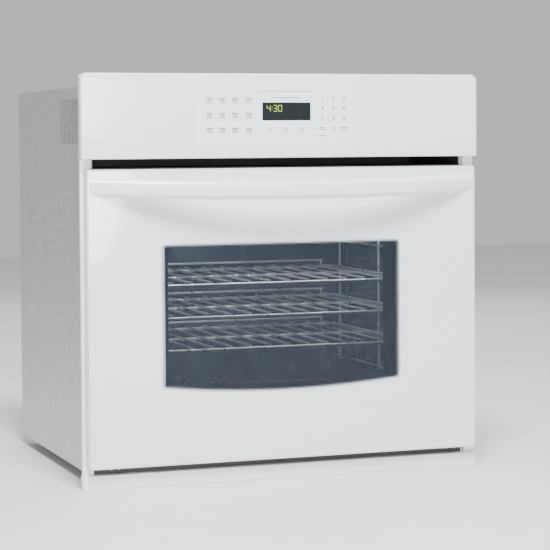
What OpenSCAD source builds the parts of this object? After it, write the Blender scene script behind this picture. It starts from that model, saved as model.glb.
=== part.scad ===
// Built-in electric wall oven with a drop-down door.
// Origin: middle of the chassis base at the cabinet face.  +X right, -Y towards the cook, +Z up.

/* [Front] */
// Width over the control panel and the bottom trim
front_w = 762; // [640:1:920]
// Height from the bottom trim's lower edge to the panel's top edge
front_h = 736.6; // [610:0.1:890]
// Height of the control panel
panel_h = 151.8; // [140:0.1:190]
// How far the control panel stands out from the cabinet
panel_out = 25; // [23:0.5:32]
// Height of the bottom trim
bottom_trim_h = 25.8; // [22:0.1:34]
// How far the bottom trim stands out from the cabinet
bottom_trim_out = 17; // [12:0.5:20]
// How far the bottom trim hangs below the chassis base
trim_drop = 19; // [14:0.5:21]
// Width of each side trim
side_trim_w = 20; // [16:0.5:24]
// How far the side trims stand out from the cabinet
side_trim_out = 8; // [5:0.1:8.5]
// Gap between the door and the control panel
top_gap = 18; // [15:0.5:24]
// Gap between the bottom trim and the door
bottom_gap = 13.2; // [11:0.1:18]
// Radius of the control panel's upper corners
panel_corner_r = 12; // [4:0.5:16]

/* [Chassis] */
// Depth of the chassis behind the cabinet face
chassis_d = 584; // [480:1:710]
// Thickness of the casing sheet
sheet = 1.2; // [0.8:0.1:1.6]
// How far the front overlaps the cabinet at each side
side_overlap = 24; // [22:0.5:26]
// How far the panel overlaps the cabinet at the top
top_overlap = 21.6; // [14:0.1:24]
// Width of the folded flanges
flange = 13; // [10:0.5:16]

/* [Door] */
// How far the door's face stands out from the cabinet
door_out = 31; // [29:0.5:38]
// How far the door's edge sits inside the panel's edge
door_inset = 8.5; // [7:0.5:10]
// Thickness of the door's sheet steel
door_sheet = 1.2; // [0.8:0.1:1.5]
// Thickness of each pane of glass
glass_t = 4; // [3:0.5:5]
// How far the door's inner pack reaches past the cabinet face
plug_in = 26; // [20:0.5:32]

/* [Window] */
// Width of the clear window
window_w = 458; // [380:1:500]
// Height of the clear window
window_h = 276.7; // [200:0.1:300]
// Height of the window's lower edge above the door's lower edge
window_up = 117; // [90:1:150]
// Width of the opening in the door's inner panel
inner_window_w = 420; // [340:1:440]

/* [Handle] */
// Distance from the door's edge to the handle's end
handle_end = 7.5; // [5:0.5:60]
// How far the handle stands out at its middle
handle_out = 57; // [50:1:68]
// Height of the handle's section
handle_h = 34; // [24:1:40]
// Thickness of the handle's section
handle_t = 14; // [10:0.5:17]
// How far the handle's bow tips downwards
handle_tip = 7.5; // [0:0.5:10]
// Distance from the door's top edge to the handle's middle line
handle_down = 32.8; // [26:0.1:60]

/* [Hinge] */
// Distance of the hinges from the chassis side
hinge_inset = 32; // [25:1:42]
// Radius of the hinge pins
pin_r = 4; // [3:0.1:4.8]
// Thickness of the hinge arms
arm_t = 5; // [3:0.5:6]
// Length of the hinge arms behind the pin
arm_len = 78; // [60:1:90]

/* [Cavity] */
// Distance from the chassis side to the cavity wall
cavity_side = 54; // [48:1:64]
// Height of the cavity floor above the chassis base
cavity_floor = 78; // [76:1:90]
// Distance from the cavity ceiling to the door's top edge
cavity_head = 49.8; // [49:0.1:60]
// Distance from the cavity's back wall to the chassis back
cavity_back = 84; // [78:1:110]
// Thickness of the insulation
wool_t = 36; // [25:1:36]
// Radius of the cavity's corners
cavity_r = 15; // [8:1:20]

/* [Racks] */
// Radius of the rack's outer wire
rack_wire_r = 3.2; // [2.5:0.1:4]
// Radius of the rack's long wires
rack_rod_r = 2; // [1.5:0.1:2.5]
// Height of the lowest rail above the cavity floor
rail_first = 74; // [60:1:90]
// Distance between two rack positions
rail_pitch = 60; // [50:1:64]
// Number of rack positions
rail_count = 5; // [4:1:5]
// Distance from the door's inner pack to the front of the racks
rack_front = 42; // [30:1:60]
// Number of long wires in each rack
rack_rods = 15; // [9:2:21]

/* [Hidden] */
$fn = 64;
clear = 0.3;
pin_clear = 0.06;

half_w = front_w / 2;
front_bottom = -trim_drop;
front_top = front_bottom + front_h;
trim_top = front_bottom + bottom_trim_h;
door_bottom = trim_top + bottom_gap;
panel_bottom = front_top - panel_h;
door_top = panel_bottom - top_gap;

chassis_half = half_w - side_overlap;
chassis_top_z = front_top - top_overlap;
inner_half = chassis_half - sheet;
inner_top = chassis_top_z - sheet;
inner_back = chassis_d - sheet;

trim_outer = half_w - 1.5;
trim_inner = trim_outer - side_trim_w;
trim_lap = trim_inner - 17.5;

cavity_half = chassis_half - cavity_side;
cavity_top = door_top - cavity_head;
cavity_end = chassis_d - cavity_back;
deck_z = panel_bottom + 5;
deck_top = deck_z + sheet;
duct_bottom = door_top + 1;
duct_half = inner_half - 2;

door_half = half_w - door_inset;
door_face = -door_out;
glass_back = door_face + glass_t;
liner_back = -side_trim_out - 2;
liner_front = liner_back - door_sheet;
liner_bottom = door_bottom + 10;
plug_half = cavity_half - 19;
plug_bottom = cavity_floor + 16;
plug_top = cavity_top - 16;
hinge_x = chassis_half - hinge_inset;
hinge_y = liner_back - 8;
hinge_z = door_bottom + 6;
slot_half = arm_t / 2 + 7;

window_bottom = door_bottom + window_up;
window_top = window_bottom + window_h;
tunnel_half = window_w / 2 + 7;
tunnel_bottom = window_bottom - 10;
tunnel_top = window_top + 10;
inner_glass_front = plug_in - door_sheet - glass_t;

handle_z = door_top - handle_down;
handle_half = door_half - handle_end;
handle_R = (handle_half * handle_half + handle_out * handle_out) / (2 * handle_out);
screw_x = handle_half - 30;

display_half = 50;
display_low = front_top - 84.5;
display_high = front_top - 47;
overlay_left = -172;
overlay_right = 137;
overlay_low = front_top - 137;
overlay_high = front_top - 22;
board_front = -12;

upright_x = cavity_half - 7.5;
rail_x = cavity_half - 12;
rail_r = 2.2;
rack_half = cavity_half - 13.7;
rack_y0 = plug_in + rack_front;
rack_y1 = cavity_end - 22;
rod_pitch = 2 * (rack_half - 23.3) / (rack_rods - 1);

blower_y = 300;
blower_r = 80;
blower_h = 58;
wheel_r = 58;
shaft_r = 4;

latch_x = -25;
latch_y = 40;
latch_z = cavity_top + 10;
latch_motor_h = 18;
hook_z = latch_z + sheet + latch_motor_h + 3;
hook_t = 3;
latch_shaft_r = 3;
latch_arm = 28;
claw = 5;
claw_reach = 15;
keeper_x = latch_x - 19;
keeper_z = hook_z + hook_t / 2;
keeper_h = 5;
switch_x = 120;
switch_z = hook_z - 1;
plunger_r = 2.5;

lamp_x = cavity_half - 73;
lamp_z = cavity_top - 48;
probe_x = -cavity_half + 103;
probe_z = cavity_top - 53;
element_r = 4;
terminal_x = 30;
bake_z = cavity_floor + 22;
broil_z = cavity_top - 22;

box_x = chassis_half - 137;
box_size = 100;
box_h = 80;
knockout_r = 11.1;
knockout_z = deck_top + 40;
screw_hole_x = half_w - 11;
screw_hole_r = 2.6;
screw_low = door_bottom + 60;
screw_high = door_top - 40;
back_screws = [for (s = [-1, 1], t = [0.09, 0.35, 0.62, 0.92]) [s * (chassis_half - 7), t * chassis_top_z]];

function rack_z(i) = cavity_floor + rail_first + i * rail_pitch;

// ---- shared shapes ----

// a block between two corners
module block(x0, x1, y0, y1, z0, z1) {
    translate([x0, y0, z0]) cube([x1 - x0, y1 - y0, z1 - z0]);
}

// an upright X-Z outline made thick between y0 and y1
module slab(y0, y1) {
    translate([0, y1, 0]) rotate([90, 0, 0]) linear_extrude(y1 - y0) children();
}

module round_rect(x0, x1, z0, z1, r) {
    translate([x0 + r, z0]) square([x1 - x0 - 2 * r, z1 - z0]);
    translate([x0, z0 + r]) square([x1 - x0, z1 - z0 - 2 * r]);
    for (x = [x0 + r, x1 - r], z = [z0 + r, z1 - r])
        translate([x, z]) circle(r);
}

module rod_x(y, z, r, x0, x1) {
    translate([x0, y, z]) rotate([0, 90, 0]) cylinder(r = r, h = x1 - x0);
}

module rod_y(x, z, r, y0, y1) {
    translate([x, y1, z]) rotate([90, 0, 0]) cylinder(r = r, h = y1 - y0);
}

module rod_z(x, y, r, z0, z1) {
    translate([x, y, z0]) cylinder(r = r, h = z1 - z0);
}

// a bent wire through flat points that turn by right angles, with bends of radius bend
module wire(points, r, bend) {
    last = len(points) - 1;
    for (i = [0 : last - 1]) {
        a = points[i];
        b = points[i + 1];
        span = norm(b - a);
        start = i == 0 ? 0 : bend;
        stop = i == last - 1 ? span : span - bend;
        translate([a.x, a.y, 0]) rotate([0, 0, atan2(b.y - a.y, b.x - a.x)])
            translate([start, 0, 0]) rotate([0, 90, 0]) cylinder(r = r, h = stop - start);
    }
    for (i = [1 : last - 1]) {
        into = (points[i] - points[i - 1]) / norm(points[i] - points[i - 1]);
        away = (points[i + 1] - points[i]) / norm(points[i + 1] - points[i]);
        centre = points[i] + bend * (away - into);
        left_turn = into.x * away.y - into.y * away.x > 0;
        from = left_turn ? atan2(-away.y, -away.x) : atan2(into.y, into.x);
        translate([centre.x, centre.y, 0]) rotate([0, 0, from])
            rotate_extrude(angle = 90) translate([bend, 0]) circle(r);
    }
}

// a closed loop of wire round a rectangle
module wire_ring(x0, x1, y0, y1, r, bend) {
    wire([[(x0 + x1) / 2, y0], [x1, y0], [x1, y1], [x0, y1], [x0, y0], [(x0 + x1) / 2, y0]], r, bend);
}

module on_left() {
    mirror([1, 0, 0]) children();
}

// ---- casing ----

module chassis_side() {
    color("gainsboro") difference() {
        union() {
            block(inner_half, chassis_half, sheet, chassis_d, sheet, inner_top);
            block(chassis_half - flange, inner_half, sheet, inner_back, sheet, 2 * sheet);
            block(chassis_half - flange, inner_half, sheet, inner_back, inner_top - sheet, inner_top);
            block(chassis_half - flange, inner_half, inner_back - sheet, inner_back, sheet, inner_top);
        }
        for (i = [0 : 9])
            block(inner_half - 1, chassis_half + 1, 90 + i * 14, 96 + i * 14,
                deck_top + 20, inner_top - 20);
        back_screw_holes();
    }
}

module back_screw_holes() {
    for (p = back_screws)
        rod_y(p.x, p.y, 1.7, inner_back - flange, chassis_d + 1);
}

module chassis_side_left() {
    on_left() chassis_side();
}

module chassis_side_right() {
    chassis_side();
}

module chassis_top() {
    color("gainsboro") difference() {
        block(-chassis_half, chassis_half, 0, chassis_d, inner_top, chassis_top_z);
        for (i = [0 : 11])
            block(-110 + i * 20, -104 + i * 20, blower_y - 60, blower_y + 60,
                inner_top - 1, chassis_top_z + 1);
    }
}

module chassis_back() {
    color("gainsboro") difference() {
        block(-inner_half, inner_half, inner_back, chassis_d, sheet, inner_top);
        back_screw_holes();
        rod_y(box_x + box_size / 2, knockout_z, knockout_r + 7, inner_back - 1, chassis_d + 1);
        for (s = [-1, 1], i = [0 : 7])
            block(s * 190 - 70, s * 190 + 70, inner_back - 1, chassis_d + 1, 14 + i * 8, 18 + i * 8);
    }
}

module base_pan() {
    color("silver") {
        block(-chassis_half, chassis_half, -6, chassis_d, 0, sheet);
        block(-chassis_half, chassis_half, -6, -6 + sheet, 0, trim_top - sheet);
    }
}

module front_frame() {
    color("dimgray") slab(0, sheet) difference() {
        translate([-chassis_half, sheet]) square([2 * chassis_half, duct_bottom]);
        round_rect(-cavity_half, cavity_half, cavity_floor, cavity_top, cavity_r);
        for (s = [-1, 1])
            translate([s * hinge_x - arm_t / 2 - 2, hinge_z - 13]) square([arm_t + 4, 26]);
        translate([keeper_x - 12, keeper_z - 7]) square([24, 14]);
        translate([switch_x, switch_z]) circle(plunger_r + 1);
    }
}

module front_head() {
    head_bottom = deck_top - 6;
    color("dimgray") slab(0, sheet) difference() {
        translate([-chassis_half, head_bottom]) square([2 * chassis_half, inner_top - head_bottom]);
        translate([-60, deck_top + 30]) square([120, 60]);
    }
}

module top_deck() {
    color("silver") difference() {
        block(-inner_half, inner_half, sheet, inner_back - sheet, deck_z, deck_top);
        block(-blower_r + 5, -25, blower_y - 105, blower_y - 75, deck_z - 1, deck_top + 1);
    }
}

// ---- trims ----

module side_trim() {
    color("white") difference() {
        translate([0, 0, trim_top]) linear_extrude(front_top - 3 - trim_top) {
            translate([trim_inner, -side_trim_out]) square([side_trim_w, sheet]);
            translate([trim_outer - sheet, -side_trim_out]) square([sheet, side_trim_out]);
            translate([trim_outer - 13, -sheet]) square([13, sheet]);
            translate([trim_inner, -side_trim_out]) square([sheet, side_trim_out]);
            translate([trim_lap, -sheet]) square([trim_inner - trim_lap + sheet, sheet]);
        }
        for (z = [screw_low, screw_high])
            rod_y(screw_hole_x, z, screw_hole_r, -side_trim_out - 1, 1);
    }
}

module side_trim_left() {
    on_left() side_trim();
}

module side_trim_right() {
    side_trim();
}

module bottom_trim() {
    color("white") {
        block(-half_w, half_w, -bottom_trim_out, sheet - bottom_trim_out, front_bottom, trim_top);
        block(-half_w, half_w, -bottom_trim_out, 0, trim_top - sheet, trim_top);
        block(-half_w, half_w, -bottom_trim_out, 0, front_bottom, front_bottom + sheet);
        block(-half_w, half_w, -sheet, 0, front_bottom, front_bottom + 10);
        for (x = [-half_w, half_w - sheet])
            block(x, x + sheet, -bottom_trim_out, 0, front_bottom, trim_top);
    }
}

// ---- cavity ----

module oven_cavity() {
    color("slategray") difference() {
        slab(sheet, cavity_end + sheet)
            round_rect(-cavity_half - sheet, cavity_half + sheet, cavity_floor - sheet,
                cavity_top + sheet, cavity_r + sheet);
        slab(0, cavity_end)
            round_rect(-cavity_half, cavity_half, cavity_floor, cavity_top, cavity_r);
        back_wall_holes(0);
    }
}

// the ways through the back wall for the lamp, the probe and the elements' ends
module back_wall_holes(extra) {
    rod_y(lamp_x, lamp_z, 22 + extra, cavity_end - 1, cavity_end + 60);
    rod_y(probe_x, probe_z, 4 + extra, cavity_end - 1, cavity_end + 60);
    for (x = [-terminal_x, terminal_x], z = [bake_z, broil_z])
        rod_y(x, z, element_r + 1.5 + extra, cavity_end - 1, cavity_end + 60);
}

module cavity_insulation() {
    color("khaki") difference() {
        slab(sheet + 1, cavity_end + sheet + wool_t)
            round_rect(-cavity_half - sheet - wool_t, cavity_half + sheet + wool_t,
                cavity_floor - sheet - wool_t, cavity_top + sheet + wool_t, cavity_r);
        slab(0, cavity_end + sheet)
            round_rect(-cavity_half - sheet, cavity_half + sheet, cavity_floor - sheet,
                cavity_top + sheet, cavity_r + sheet);
        back_wall_holes(8);
        block(latch_x - 37, latch_x + 40, 0, latch_y + 35, latch_z - 4, latch_z + 60);
        block(switch_x - 14, switch_x + 14, 0, 32, switch_z - 14, switch_z + 60);
    }
}

module rack_guide() {
    top_z = rack_z(rail_count - 1) + 12;
    low_z = rack_z(0) - 14;
    color("silver") {
        for (y = [46, cavity_end / 2, cavity_end - 40]) {
            rod_z(upright_x, y, 2.5, low_z, top_z);
            for (z = [low_z + 3, top_z - 3])
                rod_x(y, z, 2.3, upright_x, cavity_half);
        }
        for (i = [0 : rail_count - 1])
            rod_y(rail_x, rack_z(i) - rack_wire_r - rail_r - clear, rail_r, 20, cavity_end - 12);
    }
}

module rack_guide_left() {
    on_left() rack_guide();
}

module rack_guide_right() {
    rack_guide();
}

module cavity_gasket() {
    gasket_r = -liner_back / 2 - clear / 2;
    color("darkgray") translate([0, -gasket_r, 0]) rotate([90, 0, 0])
        wire_ring(-cavity_half - 9, cavity_half + 9, cavity_floor - 9, cavity_top + 9, gasket_r, 24);
}

module bake_element() {
    x = cavity_half - 73;
    finger = 2 * floor(x / 6);
    y0 = 90;
    y1 = cavity_end - 70;
    color("darkslategray") translate([0, 0, bake_z])
        wire([[terminal_x, cavity_end + 14], [terminal_x, y1], [x, y1], [x, y0], [finger, y0],
            [finger, y1 - 60], [-finger, y1 - 60], [-finger, y0], [-x, y0], [-x, y1],
            [-terminal_x, y1], [-terminal_x, cavity_end + 14]], element_r, 20);
}

module broil_element() {
    x = cavity_half - 83;
    y0 = 80;
    y1 = cavity_end - 70;
    color("darkslategray") translate([0, 0, broil_z])
        wire([[terminal_x, cavity_end + 14], [terminal_x, y1], [x, y1], [x, y0], [x * 0.6, y0],
            [x * 0.6, y1 - 60], [x * 0.2, y1 - 60], [x * 0.2, y0], [-x * 0.2, y0],
            [-x * 0.2, y1 - 60], [-x * 0.6, y1 - 60], [-x * 0.6, y0], [-x, y0], [-x, y1],
            [-terminal_x, y1], [-terminal_x, cavity_end + 14]], element_r, 20);
}

module temperature_probe() {
    color("silver") {
        rod_y(probe_x, probe_z, 2.5, cavity_end - 100, cavity_end + 14);
        block(probe_x - 16, probe_x + 16, cavity_end - 2, cavity_end, probe_z - 9, probe_z + 9);
    }
}

module lamp_socket() {
    color("ivory") difference() {
        union() {
            rod_y(lamp_x, lamp_z, 20, cavity_end, cavity_end + 34);
            rod_y(lamp_x, lamp_z, 28, cavity_end + sheet, cavity_end + sheet + 2);
        }
        rod_y(lamp_x, lamp_z, 8.2, cavity_end - 1, cavity_end + 18);
    }
}

module lamp_bulb() {
    color("lightyellow") {
        translate([lamp_x, cavity_end - 18, lamp_z]) sphere(13);
        rod_y(lamp_x, lamp_z, 8, cavity_end - 18, cavity_end + 18);
    }
}

module lamp_lens() {
    color("aliceblue", 0.5) difference() {
        rod_y(lamp_x, lamp_z, 26, cavity_end - 36, cavity_end);
        rod_y(lamp_x, lamp_z, 22, cavity_end - 33, cavity_end + 1);
    }
}

// ---- cooling air ----

module vent_duct() {
    duct_end = blower_y - 70;
    color("black") difference() {
        block(-duct_half - sheet, duct_half + sheet, sheet, duct_end, duct_bottom, deck_z);
        block(-duct_half, duct_half, 0, duct_end - sheet, duct_bottom + sheet, deck_z + 1);
    }
}

module blower_housing() {
    color("lightgray") difference() {
        union() {
            rod_z(0, blower_y, blower_r, deck_top, deck_top + blower_h);
            block(-blower_r, -20, blower_y - 110, blower_y, deck_top, deck_top + blower_h);
        }
        rod_z(0, blower_y, blower_r - sheet, deck_top - 1, deck_top + blower_h - sheet);
        block(sheet - blower_r, -20 - sheet, blower_y - 110 + sheet, blower_y,
            deck_top - 1, deck_top + blower_h - sheet);
        rod_z(0, blower_y, wheel_r - 10, deck_top, deck_top + blower_h + 1);
    }
}

module blower_motor() {
    plate_z = deck_top + blower_h + 6;
    color("dimgray") difference() {
        union() {
            rod_z(0, blower_y, wheel_r + 8, plate_z, plate_z + 2);
            rod_z(0, blower_y, 35, plate_z + 2, plate_z + 36);
            for (a = [30, 150, 270])
                rod_z(wheel_r * cos(a), blower_y + wheel_r * sin(a), 4, plate_z - 6, plate_z);
        }
        rod_z(0, blower_y, shaft_r + pin_clear, plate_z - 1, plate_z + 26);
        for (a = [90, 210, 330])
            rod_z(50 * cos(a), blower_y + 50 * sin(a), 11, plate_z - 1, plate_z + 3);
    }
}

module blower_wheel() {
    z0 = deck_top + 6;
    color("darkgray") {
        rod_z(0, blower_y, wheel_r, z0, z0 + 1.5);
        rod_z(0, blower_y, 11, z0, z0 + 16);
        rod_z(0, blower_y, shaft_r, z0, deck_top + blower_h + 28);
        difference() {
            rod_z(0, blower_y, wheel_r, z0 + 38, z0 + 40);
            rod_z(0, blower_y, wheel_r - 11, z0 + 37, z0 + 41);
        }
        for (i = [0 : 23])
            translate([0, blower_y, z0 + 1]) rotate([0, 0, i * 15])
                translate([wheel_r - 10, 0, 0]) rotate([0, 0, 25]) cube([9, 1.2, 37.5]);
    }
}

// ---- controls ----

module panel_outline(shrink) {
    r = panel_corner_r - shrink;
    low = panel_bottom + shrink;
    high = front_top - shrink;
    half = half_w - shrink;
    translate([-half, low]) square([2 * half, high - low - r]);
    translate([-half + r, high - r - 1]) square([2 * half - 2 * r, r + 1]);
    for (s = [-1, 1])
        translate([s * (half - r), high - r]) circle(r);
}

module display_outline(gap) {
    translate([-display_half + gap, display_low + gap])
        square([2 * (display_half - gap), display_high - display_low - 2 * gap]);
}

module control_fascia() {
    color("white") difference() {
        slab(-panel_out, -side_trim_out) panel_outline(0);
        slab(sheet - panel_out, 0) panel_outline(sheet);
        slab(-panel_out - 1, 0) display_outline(0);
        for (x = [overlay_left + 30, overlay_right - 30])
            block(x - 15, x + 15, -panel_out - 1, 0, overlay_low + 20, overlay_low + 24);
    }
}

module control_bracket() {
    low = deck_top;
    high = inner_top - 2;
    color("silver") {
        difference() {
            block(-trim_lap, trim_lap, -sheet, 0, low, high);
            block(-60, 60, -3, 1, deck_top + 30, deck_top + 90);
        }
        block(-trim_lap, trim_lap, -side_trim_out, 0, low, low + sheet);
        block(-trim_lap, trim_lap, -side_trim_out, 0, high - sheet, high);
        for (x = [overlay_left + 8, overlay_right - 8], z = [overlay_low + 16, overlay_high - 16])
            rod_y(x, z, 3, board_front + 1.6, 0);
    }
}

module keypad_overlay() {
    color("whitesmoke") slab(-panel_out - 0.3, -panel_out) difference() {
        round_rect(overlay_left, overlay_right, overlay_low, overlay_high, 6);
        display_outline(0);
    }
}

module display_lens() {
    color("darkslategray") slab(-panel_out - 0.2, -panel_out + 3) display_outline(clear);
}

module display_module() {
    color("darkolivegreen") slab(-panel_out + 3, board_front) display_outline(3);
}

module control_board() {
    color("darkgreen") {
        block(overlay_left, overlay_right, board_front, board_front + 1.6,
            overlay_low + 8, overlay_high - 8);
        for (i = [0 : 4])
            block(-140 + i * 34, -120 + i * 34, board_front + 1.6, -2.4,
                overlay_low + 30, overlay_low + 45);
        rod_y(-120, overlay_high - 40, 8, board_front + 1.6, -2.4);
    }
}

// ---- door latch and light switch ----

module latch_plate() {
    color("silver") {
        block(latch_x - 35, latch_x + 35, sheet, latch_y + 30, latch_z, latch_z + sheet);
        block(latch_x - 35, latch_x + 35, sheet, 2 * sheet, latch_z - 3, latch_z + 10);
    }
}

module latch_motor() {
    z0 = latch_z + sheet;
    color("dimgray") {
        rod_z(latch_x, latch_y, 22, z0, z0 + latch_motor_h);
        rod_z(latch_x, latch_y, latch_shaft_r, z0, hook_z + hook_t + 2);
    }
}

// turned away at rest; it swings in front of the keeper's head to lock the door
module latch_hook() {
    color("silver") translate([latch_x, latch_y, hook_z]) difference() {
        union() {
            cylinder(r = 9, h = hook_t);
            translate([0, -5, 0]) cube([latch_arm, 10, hook_t]);
            translate([latch_arm - claw, -claw_reach, 0]) cube([claw, claw_reach, hook_t]);
        }
        translate([0, 0, -1]) cylinder(r = latch_shaft_r + pin_clear, h = hook_t + 2);
    }
}

// on the door: a T-headed strap that reaches through the front frame when the door is shut
module latch_keeper() {
    low = keeper_z - keeper_h / 2;
    high = keeper_z + keeper_h / 2;
    color("silver") {
        block(keeper_x - 12, keeper_x + 12, liner_back, liner_back + 1.5, keeper_z - 6, keeper_z + 6);
        block(keeper_x - 2, keeper_x + 2, liner_back, latch_y - 14, low, high);
        block(keeper_x - 9, keeper_x + 9, latch_y - 20, latch_y - 14, low, high);
    }
}

module door_switch() {
    color("black") difference() {
        block(switch_x - 8, switch_x + 8, sheet, 26, switch_z - 7, switch_z + 7);
        rod_y(switch_x, switch_z, plunger_r + pin_clear, 0, 24);
    }
}

module switch_plunger() {
    color("white") rod_y(switch_x, switch_z, plunger_r, liner_back + clear, 19);
}

// ---- electrical ----

module thermal_cutout() {
    color("black") {
        block(-172, -128, 113, 127, deck_top, deck_top + 1.5);
        rod_z(-150, 120, 9, deck_top, deck_top + 12);
    }
}

module junction_box() {
    color("lightgray") difference() {
        block(box_x, box_x + box_size, inner_back - box_size, inner_back, deck_top, deck_top + box_h);
        block(box_x + 1.5, box_x + box_size - 1.5, inner_back - box_size + 1.5, inner_back - 1.5,
            deck_top + 1.5, deck_top + box_h + 1);
        rod_y(box_x + box_size / 2, knockout_z, knockout_r, inner_back - 3, inner_back + 1);
    }
}

module junction_cover() {
    color("silver") block(box_x, box_x + box_size, inner_back - box_size, inner_back,
        deck_top + box_h, deck_top + box_h + sheet);
}

module case_screws() {
    color("gray") for (p = back_screws) {
        rod_y(p.x, p.y, 1.6, inner_back - 8, chassis_d + 1);
        rod_y(p.x, p.y, 4, chassis_d, chassis_d + 2);
    }
}

// ---- hinges ----

module hinge_receivers() {
    color("gray") for (x = [-hinge_x, hinge_x])
        difference() {
            block(x - 9, x + 9, sheet, arm_len + 2, hinge_z - 14, hinge_z + 14);
            block(x - 7.5, x + 7.5, 0, arm_len, hinge_z - 12.5, hinge_z + 12.5);
        }
}

module hinge_arms() {
    color("gray") for (x = [-hinge_x, hinge_x])
        difference() {
            translate([x - arm_t / 2, hinge_y, hinge_z]) rotate([90, 0, 90]) linear_extrude(arm_t) {
                circle(8.5);
                translate([0, -7]) square([arm_len, 14]);
                translate([-hinge_y + 20, -12.5]) square([10, 8]);
            }
            rod_x(hinge_y, hinge_z, pin_r + pin_clear, x - 20, x + 20);
        }
}

module hinge_body() {
    front = glass_back + 1;
    back = liner_front - 1.5;
    low = hinge_z - 9;
    high = hinge_z + 144;
    inside = arm_t / 2 + 4.5;
    color("gray") difference() {
        union() {
            for (x = [hinge_x - inside - 1.5, hinge_x + inside])
                block(x, x + 1.5, front, back, low, high);
            block(hinge_x - inside, hinge_x + inside, front, front + 1.5, hinge_z + 14, high);
            for (z = [hinge_z + 22, high - 18])
                rod_x(hinge_y, z, 1.5, hinge_x - inside, hinge_x + inside);
        }
        rod_x(hinge_y, hinge_z, pin_r + 0.02, hinge_x - 20, hinge_x + 20);
    }
}

module hinge_body_left() {
    on_left() hinge_body();
}

module hinge_body_right() {
    hinge_body();
}

module hinge_pins() {
    color("silver") for (s = [-1, 1])
        rod_x(hinge_y, hinge_z, pin_r, s * hinge_x - slot_half + 0.2, s * hinge_x + slot_half - 0.2);
}

// a coil spring as one swept tube with flat ends
function coil_point(t, r, length, turns) =
    [r * cos(360 * turns * t), r * sin(360 * turns * t), length * t];

function coil_ring(t, r, wire_r, length, turns, sides) =
    let (c = coil_point(t, r, length, turns), a = 360 * turns * t)
    [for (k = [0 : sides - 1]) let (b = 360 * k / sides)
        [c.x + wire_r * cos(b) * cos(a), c.y + wire_r * cos(b) * sin(a), c.z + wire_r * sin(b)]];

module coil_spring(r, wire_r, length, turns) {
    sides = 6;
    steps = turns * 10;
    rings = [for (i = [0 : steps]) each coil_ring(i / steps, r, wire_r, length, turns, sides)];
    walls = [for (i = [0 : steps - 1], k = [0 : sides - 1])
        let (a = i * sides + k, b = i * sides + (k + 1) % sides)
        each [[a, a + sides, b], [b, a + sides, b + sides]]];
    cap0 = [[for (k = [0 : sides - 1]) k]];
    cap1 = [[for (k = [sides - 1 : -1 : 0]) steps * sides + k]];
    polyhedron(points = rings, faces = concat(walls, cap0, cap1));
}

module hinge_springs() {
    spring_low = hinge_z + 24.6;
    spring_high = hinge_z + 123.4;
    color("darkgray") for (s = [-1, 1])
        translate([s * hinge_x, hinge_y, spring_low])
            coil_spring(4.4, 0.8, spring_high - spring_low, 13);
}

// ---- door ----

module door_frame() {
    color("white") difference() {
        slab(door_face, liner_front) round_rect(-door_half, door_half, door_bottom, door_top, 5);
        slab(door_face - 1, glass_back)
            round_rect(door_sheet - door_half, door_half - door_sheet, door_bottom + door_sheet,
                door_top - door_sheet, 3.8);
        slab(glass_back + door_sheet, 0)
            round_rect(door_sheet - door_half, door_half - door_sheet, door_bottom + door_sheet,
                door_top - door_sheet, 3.8);
        slab(door_face - 1, 0)
            round_rect(8 - door_half, door_half - 8, door_bottom + 8, door_top - 8, 3);
        for (s = [-1, 1])
            block(s * hinge_x - slot_half, s * hinge_x + slot_half, glass_back, 0,
                door_bottom - 1, door_bottom + 9);
        for (i = [-5 : 5], z = [door_bottom, door_top - door_sheet])
            block(i * 48 - 18, i * 48 + 18, liner_front - 9, liner_front - 4, z - 1, z + door_sheet + 1);
    }
}

module door_outer_glass() {
    edge = door_sheet + clear;
    color("aliceblue", 0.6) difference() {
        slab(door_face, glass_back)
            round_rect(edge - door_half, door_half - edge, door_bottom + edge, door_top - edge, 3.5);
        for (s = [-1, 1])
            rod_y(s * screw_x, handle_z, 3.2, door_face - 1, glass_back + 1);
    }
}

module window_tunnel() {
    edge = door_sheet;
    ledge_y = -2;
    color("silver") {
        slab(glass_back, inner_glass_front) difference() {
            round_rect(-tunnel_half, tunnel_half, tunnel_bottom, tunnel_top, 12);
            round_rect(edge - tunnel_half, tunnel_half - edge, tunnel_bottom + edge, tunnel_top - edge, 11);
        }
        slab(ledge_y, ledge_y + edge) difference() {
            round_rect(-tunnel_half, tunnel_half, tunnel_bottom, tunnel_top, 12);
            round_rect(12 - tunnel_half, tunnel_half - 12, tunnel_bottom + 12, tunnel_top - 12, 6);
        }
    }
}

module door_middle_glass() {
    edge = door_sheet + clear;
    color("aliceblue", 0.6) slab(-2 - glass_t, -2)
        round_rect(edge - tunnel_half, tunnel_half - edge, tunnel_bottom + edge, tunnel_top - edge, 10.7);
}

module door_inner_glass() {
    color("aliceblue", 0.6) slab(inner_glass_front, inner_glass_front + glass_t)
        round_rect(-tunnel_half - 4, tunnel_half + 4, tunnel_bottom - 6, tunnel_top + 6, 12);
}

module door_liner() {
    edge = door_sheet;
    inner_half_w = inner_window_w / 2;
    color("slategray") difference() {
        union() {
            slab(liner_front, liner_back)
                round_rect(-door_half, door_half, liner_bottom, door_top, 5);
            slab(liner_front, plug_in)
                round_rect(-plug_half, plug_half, plug_bottom, plug_top, 14);
        }
        slab(liner_front - 1, plug_in - edge)
            round_rect(edge - plug_half, plug_half - edge, plug_bottom + edge, plug_top - edge, 12.8);
        slab(plug_in - edge - 1, plug_in + 1)
            round_rect(-inner_half_w, inner_half_w, window_bottom + 11, window_top - 4, 12);
        for (s = [-1, 1])
            block(s * hinge_x - slot_half, s * hinge_x + slot_half, liner_front - 1, 0,
                liner_bottom - 1, hinge_z + 12);
    }
}

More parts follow.
